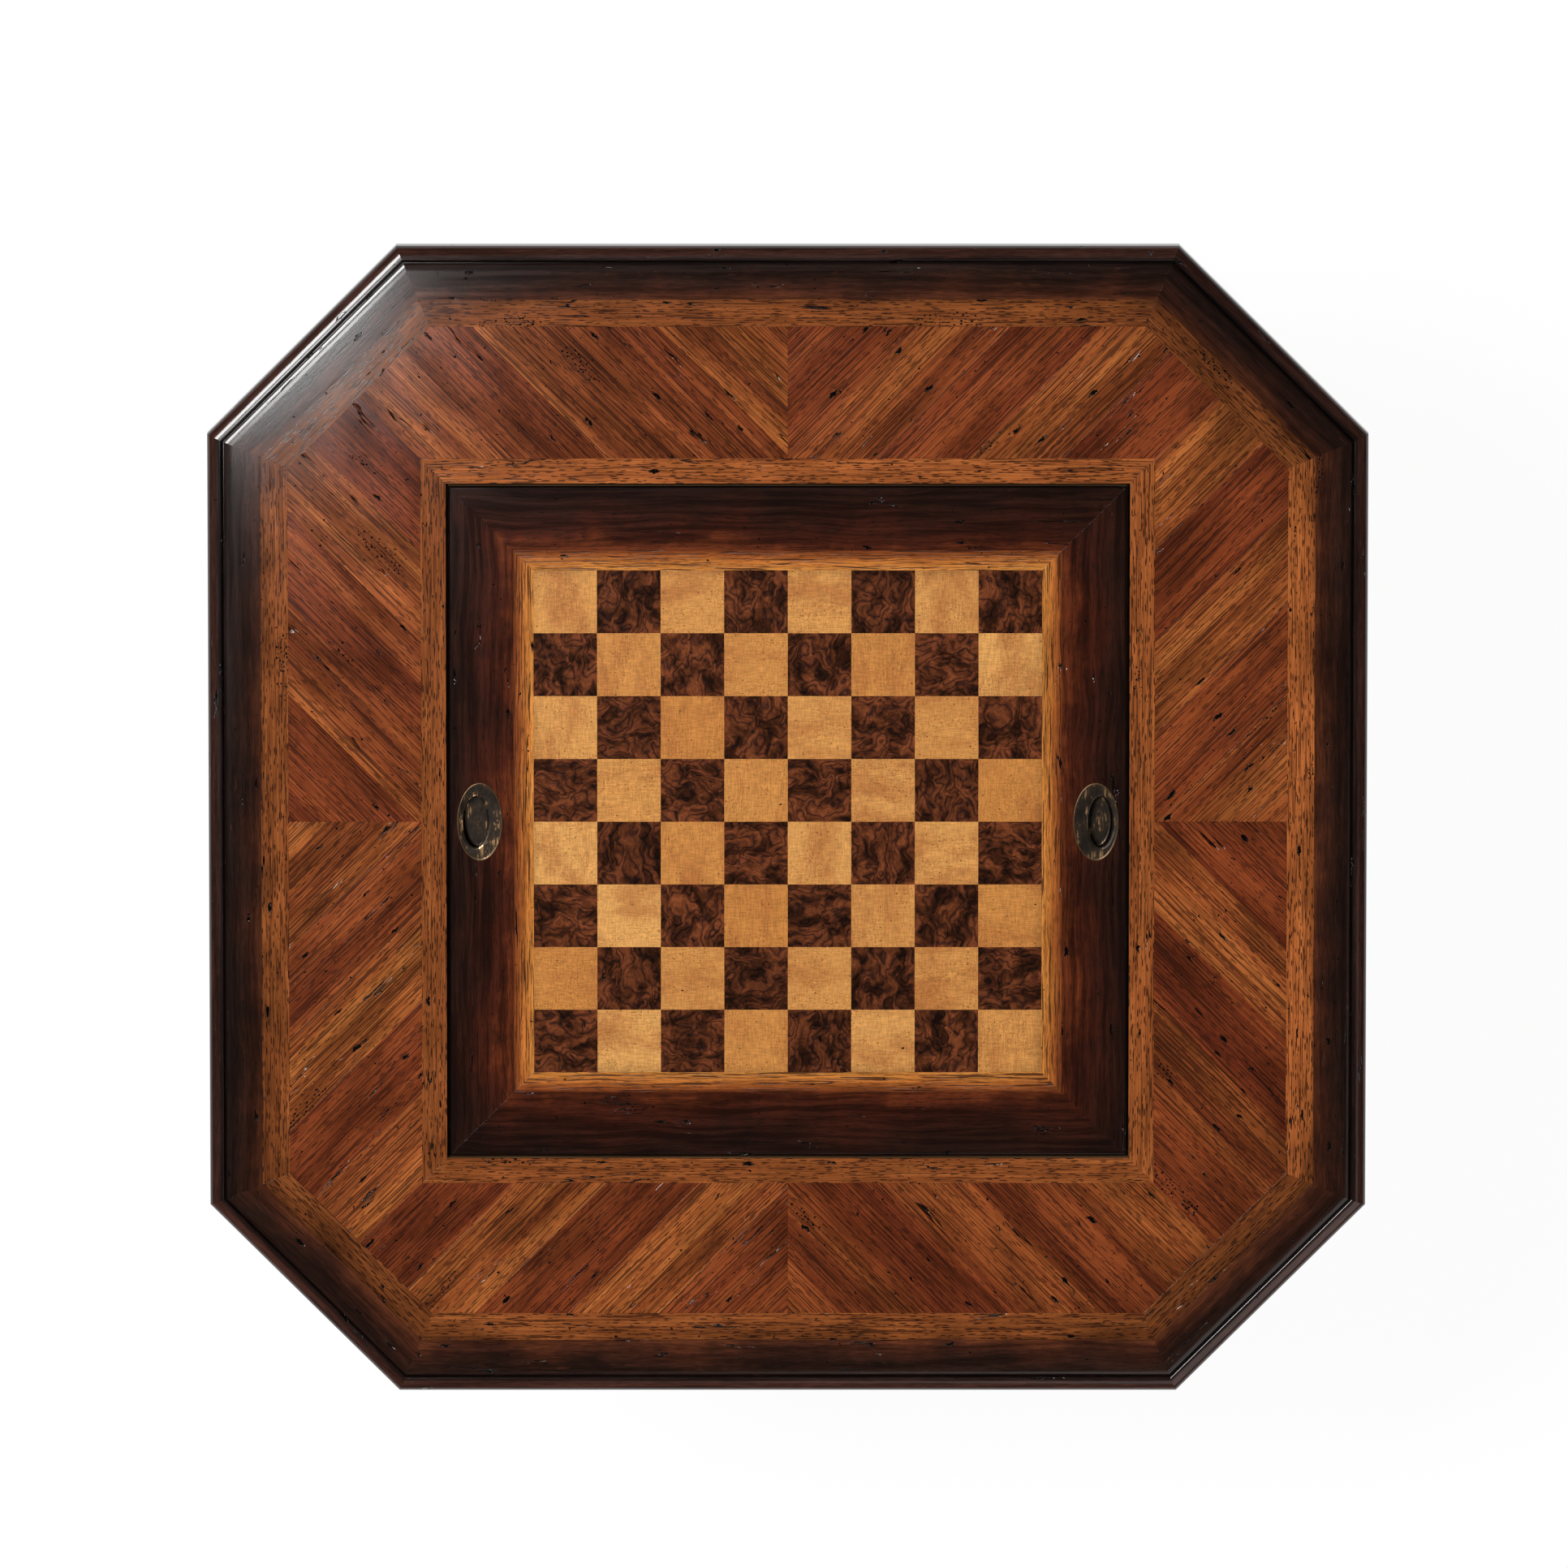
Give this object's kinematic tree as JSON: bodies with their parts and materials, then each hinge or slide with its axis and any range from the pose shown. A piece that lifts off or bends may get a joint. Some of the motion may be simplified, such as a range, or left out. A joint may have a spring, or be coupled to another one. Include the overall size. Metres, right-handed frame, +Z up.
{
  "type": "games table",
  "caption": "Square games table with canted corners, turned legs and a lift-out chessboard panel with flush pulls over a backgammon well.",
  "frame": {"origin": "on the floor, under the middle of the table top", "axes": "+Z up; +X to the right pull and -Y to the near side, where the chessboard's left corner square is dark"},
  "size_m": [1.04, 1.04, 0.7628],
  "materials": {
    "dark_wood": "dark stained hardwood, waxed, distressed",
    "oak_banding": "oak with dark open pores, waxed",
    "walnut_veneer": "feather matched walnut veneer, waxed",
    "maple_squares": "honey coloured maple veneer, waxed",
    "burl_squares": "dark walnut burl veneer, waxed",
    "base_wood": "dark stained hardwood, waxed",
    "secondary_wood": "plain unfinished softwood",
    "bronzed_brass": "antique bronzed brass, rubbed on its rims"
  },
  "bodies": {
    "table": {"top_core": "secondary_wood", "edge_moulding_front": "dark_wood", "edge_moulding_front_right": "dark_wood", "edge_moulding_right": "dark_wood", "edge_moulding_back_right": "dark_wood", "edge_moulding_back": "dark_wood", "edge_moulding_back_left": "dark_wood", "edge_moulding_left": "dark_wood", "edge_moulding_front_left": "dark_wood", "outer_banding_front": "oak_banding", "outer_banding_front_right": "oak_banding", "outer_banding_right": "oak_banding", "outer_banding_back_right": "oak_banding", "outer_banding_back": "oak_banding", "outer_banding_back_left": "oak_banding", "outer_banding_left": "oak_banding", "outer_banding_front_left": "oak_banding", "inner_banding_front": "oak_banding", "inner_banding_right": "oak_banding", "inner_banding_back": "oak_banding", "inner_banding_left": "oak_banding", "field_veneer_front_right": "walnut_veneer", "field_veneer_back_right": "walnut_veneer", "field_veneer_back_left": "walnut_veneer", "field_veneer_front_left": "walnut_veneer", "well_floor": "walnut_veneer", "well_wall_front": "dark_wood", "well_wall_right": "dark_wood", "well_wall_back": "dark_wood", "well_wall_left": "dark_wood", "well_bar": "dark_wood", "rail_front": "base_wood", "rail_right": "base_wood", "rail_back": "base_wood", "rail_left": "base_wood", "well_bearer_front": "secondary_wood", "well_bearer_back": "secondary_wood", "corner_block_front_right": "secondary_wood", "corner_block_back_right": "secondary_wood", "corner_block_back_left": "secondary_wood", "corner_block_front_left": "secondary_wood", "leg_front_right": "base_wood", "leg_back_right": "base_wood", "leg_back_left": "base_wood", "leg_front_left": "base_wood"},
    "board": {"board_core": "secondary_wood", "board_backing": "walnut_veneer", "board_border_front": "dark_wood", "board_border_right": "dark_wood", "board_border_back": "dark_wood", "board_border_left": "dark_wood", "board_banding_front": "oak_banding", "board_banding_right": "oak_banding", "board_banding_back": "oak_banding", "board_banding_left": "oak_banding", "light_squares": "maple_squares", "dark_squares": "burl_squares", "left_pull": "bronzed_brass", "right_pull": "bronzed_brass"}
  },
  "joints": [
    {"name": "board_lift", "type": "slide", "parent": "table", "child": "board", "axis": [0, 0, 1], "range_m": [0, 0.15]}
  ]
}
